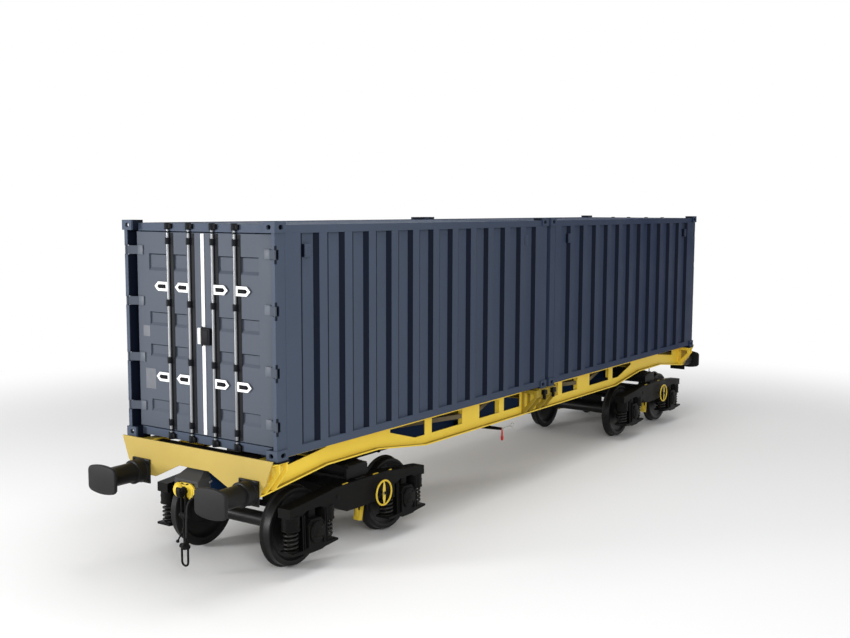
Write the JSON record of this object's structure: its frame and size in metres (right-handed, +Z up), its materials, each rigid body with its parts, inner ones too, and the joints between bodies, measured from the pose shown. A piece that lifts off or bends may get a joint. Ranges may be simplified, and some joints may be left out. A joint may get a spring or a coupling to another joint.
{
  "type": "flatcar with container",
  "caption": "Bogie flat wagon with a yellow skeleton frame on a blue centre sill, carrying corrugated steel freight containers with hinged end doors.",
  "frame": {"origin": "on the floor under the wagon's middle, at the wheel flanges' lowest points", "axes": "+X along the wagon towards its far end, +Z up, +Y to its left"},
  "size_m": [13.54, 2.54, 4.041],
  "materials": {
    "sill_blue": "satin deep blue paint",
    "black_steel": "satin black paint",
    "lever_red": "red paint",
    "hose_rubber": "smooth black rubber",
    "brace_olive": "dull olive grey paint",
    "frame_yellow": "satin yellow paint",
    "bright_steel": "bright zinc",
    "buffer_grey": "dark grey paint",
    "wheel_steel": "dark rolled steel",
    "handwheel_yellow": "yellow paint",
    "container_blue": "matt slate blue paint",
    "floor_wood": "varnished plywood"
  },
  "bodies": {
    "underframe": {"centre_sill": "sill_blue", "sill_end_caps": "black_steel", "bolsters": "black_steel", "centre_pivots": "black_steel", "hook_mouths": "handwheel_yellow", "draw_hooks": "black_steel", "screw_couplings": "black_steel", "brake_pipe": "black_steel", "brake_hose_near": "hose_rubber", "brake_hose_far": "hose_rubber", "changeover_arm": "black_steel", "changeover_lever": "lever_red"},
    "upper_frame": {"side_sill_left": "frame_yellow", "side_sill_right": "frame_yellow", "headstocks": "frame_yellow", "cross_members": "frame_yellow", "frame_braces": "brace_olive", "end_bars": "black_steel", "corner_brackets": "frame_yellow", "middle_brackets": "frame_yellow", "container_seats": "black_steel", "container_pins": "bright_steel", "buffer_casings": "buffer_grey", "buffer_heads": "buffer_grey"},
    "bogie_near": {"bogie_frame_near": "black_steel", "axle_boxes_near": "black_steel", "springs_near": "black_steel", "brake_gear_near": "black_steel", "handwheels_near": "handwheel_yellow"},
    "wheelset_near_outer": {"wheelset_near_outer": "wheel_steel"},
    "wheelset_near_inner": {"wheelset_near_inner": "wheel_steel"},
    "container_near": {"corner_posts_near": "container_blue", "rails_near": "container_blue", "side_walls_near": "container_blue", "roof_near": "container_blue", "floor_near": "floor_wood", "blind_wall_near": "container_blue", "rod_keepers_near": "black_steel"},
    "leaf_left_near": {"door_left_near": "container_blue", "lock_rods_left_near": "bright_steel"},
    "leaf_right_near": {"door_right_near": "container_blue", "lock_rods_right_near": "bright_steel"},
    "bogie_far": {"bogie_frame_far": "black_steel", "axle_boxes_far": "black_steel", "springs_far": "black_steel", "brake_gear_far": "black_steel", "handwheels_far": "handwheel_yellow"},
    "wheelset_far_outer": {"wheelset_far_outer": "wheel_steel"},
    "wheelset_far_inner": {"wheelset_far_inner": "wheel_steel"},
    "container_far": {"corner_posts_far": "container_blue", "rails_far": "container_blue", "side_walls_far": "container_blue", "roof_far": "container_blue", "floor_far": "floor_wood", "blind_wall_far": "container_blue", "rod_keepers_far": "black_steel"},
    "leaf_left_far": {"door_left_far": "container_blue", "lock_rods_left_far": "bright_steel"},
    "leaf_right_far": {"door_right_far": "container_blue", "lock_rods_right_far": "bright_steel"}
  },
  "joints": [
    {"name": "upper_frame_lift", "type": "slide", "parent": "underframe", "child": "upper_frame", "axis": [0, 0, 1], "range_m": [0, 0.955]},
    {"name": "bogie_near_turn", "type": "hinge", "parent": "underframe", "child": "bogie_near", "pos_m": [-4.45, 0, 0.845], "axis": [0, 0, 1], "range_deg": [-6, 6]},
    {"name": "wheelset_near_outer_spin", "type": "hinge", "parent": "bogie_near", "child": "wheelset_near_outer", "pos_m": [-5.35, 0, 0.49], "axis": [0, 1, 0], "continuous": true},
    {"name": "wheelset_near_inner_spin", "type": "hinge", "parent": "bogie_near", "child": "wheelset_near_inner", "pos_m": [-3.55, 0, 0.49], "axis": [0, 1, 0], "continuous": true},
    {"name": "container_near_lift", "type": "slide", "parent": "upper_frame", "child": "container_near", "axis": [0, 0, 1], "range_m": [0, 1.141]},
    {"name": "door_left_near_hinge", "type": "hinge", "parent": "container_near", "child": "leaf_left_near", "pos_m": [-6.066, -1.189, 2.6], "axis": [0, 0, 1], "range_deg": [0, 270]},
    {"name": "door_right_near_hinge", "type": "hinge", "parent": "container_near", "child": "leaf_right_near", "pos_m": [-6.066, 1.189, 2.6], "axis": [0, 0, -1], "range_deg": [0, 270]},
    {"name": "bogie_far_turn", "type": "hinge", "parent": "underframe", "child": "bogie_far", "pos_m": [4.45, 0, 0.845], "axis": [0, 0, 1], "range_deg": [-6, 6]},
    {"name": "wheelset_far_outer_spin", "type": "hinge", "parent": "bogie_far", "child": "wheelset_far_outer", "pos_m": [5.35, 0, 0.49], "axis": [0, 1, 0], "continuous": true},
    {"name": "wheelset_far_inner_spin", "type": "hinge", "parent": "bogie_far", "child": "wheelset_far_inner", "pos_m": [3.55, 0, 0.49], "axis": [0, 1, 0], "continuous": true},
    {"name": "container_far_lift", "type": "slide", "parent": "upper_frame", "child": "container_far", "axis": [0, 0, 1], "range_m": [0, 0.618]},
    {"name": "door_left_far_hinge", "type": "hinge", "parent": "container_far", "child": "leaf_left_far", "pos_m": [6.066, 1.189, 2.6], "axis": [0, 0, 1], "range_deg": [0, 270]},
    {"name": "door_right_far_hinge", "type": "hinge", "parent": "container_far", "child": "leaf_right_far", "pos_m": [6.066, -1.189, 2.6], "axis": [0, 0, -1], "range_deg": [0, 270]}
  ]
}
